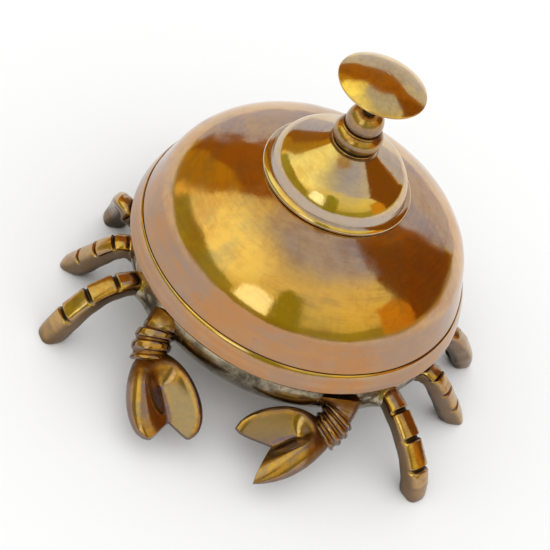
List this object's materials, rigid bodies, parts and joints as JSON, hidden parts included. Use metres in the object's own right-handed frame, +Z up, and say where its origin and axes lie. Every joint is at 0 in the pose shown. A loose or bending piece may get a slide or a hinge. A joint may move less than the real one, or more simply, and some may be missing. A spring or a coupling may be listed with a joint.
{
  "type": "service bell",
  "caption": "Desk service bell shaped as a crab: a round brass bell over a cast body with legs and claws, rung by a push button on top.",
  "frame": {"origin": "middle of the footprint, on the surface that the feet stand on", "axes": "+Z up along the plunger, -Y towards the crab's claws, +X towards the crab's right-hand side in the front view"},
  "size_m": [0.1173, 0.1144, 0.0878],
  "materials": {
    "spun_brass": "polished, with brush marks and a light brown tarnish",
    "turned_brass": "polished",
    "cast_brass": "satin cast, darkened",
    "limb_brass": "polished casting, dark in its grooves",
    "steel": "brushed",
    "fibre": "matte vulcanised fibre"
  },
  "bodies": {
    "base": {"plunger_spring": "steel", "finial_collar": "turned_brass", "crown_cap": "spun_brass", "bell_dome": "spun_brass", "dome_nut": "turned_brass", "upper_washer": "fibre", "lower_washer": "fibre", "centre_post": "turned_brass", "bridge": "steel", "post_nut": "turned_brass", "bridge_screws": "turned_brass", "bridge_nuts": "turned_brass", "striker_pin": "steel", "pin_clips": "steel", "crab_shell": "cast_brass", "leg_front_left": "limb_brass", "leg_front_right": "limb_brass", "leg_middle_left": "limb_brass", "leg_middle_right": "limb_brass", "leg_rear_left": "limb_brass", "leg_rear_right": "limb_brass", "leg_back_left": "limb_brass", "leg_back_right": "limb_brass", "claw_arm_left": "limb_brass", "claw_arm_right": "limb_brass", "pincer_left": "limb_brass", "pincer_right": "limb_brass"},
    "plunger": {"knob": "turned_brass", "plunger_rod": "steel", "plunger_clip": "steel"},
    "striker": {"striker_arm": "steel", "hammer_head": "turned_brass"}
  },
  "joints": [
    {"name": "plunger_slide", "type": "slide", "parent": "base", "child": "plunger", "axis": [0, 0, -1], "range_m": [0, 0.0035], "stiffness_N_per_m": 400, "springref_m": -0.002, "deforming": ["plunger_spring"]},
    {"name": "striker_swing", "type": "hinge", "parent": "base", "child": "striker", "pos_m": [-0.0009, 0.0161, 0.024], "axis": [1, 0, 0], "range_deg": [0, 22.5]}
  ],
  "couplings": [
    {"joint": "striker_swing", "follows": "plunger_slide", "rad_per_m": 112}
  ]
}
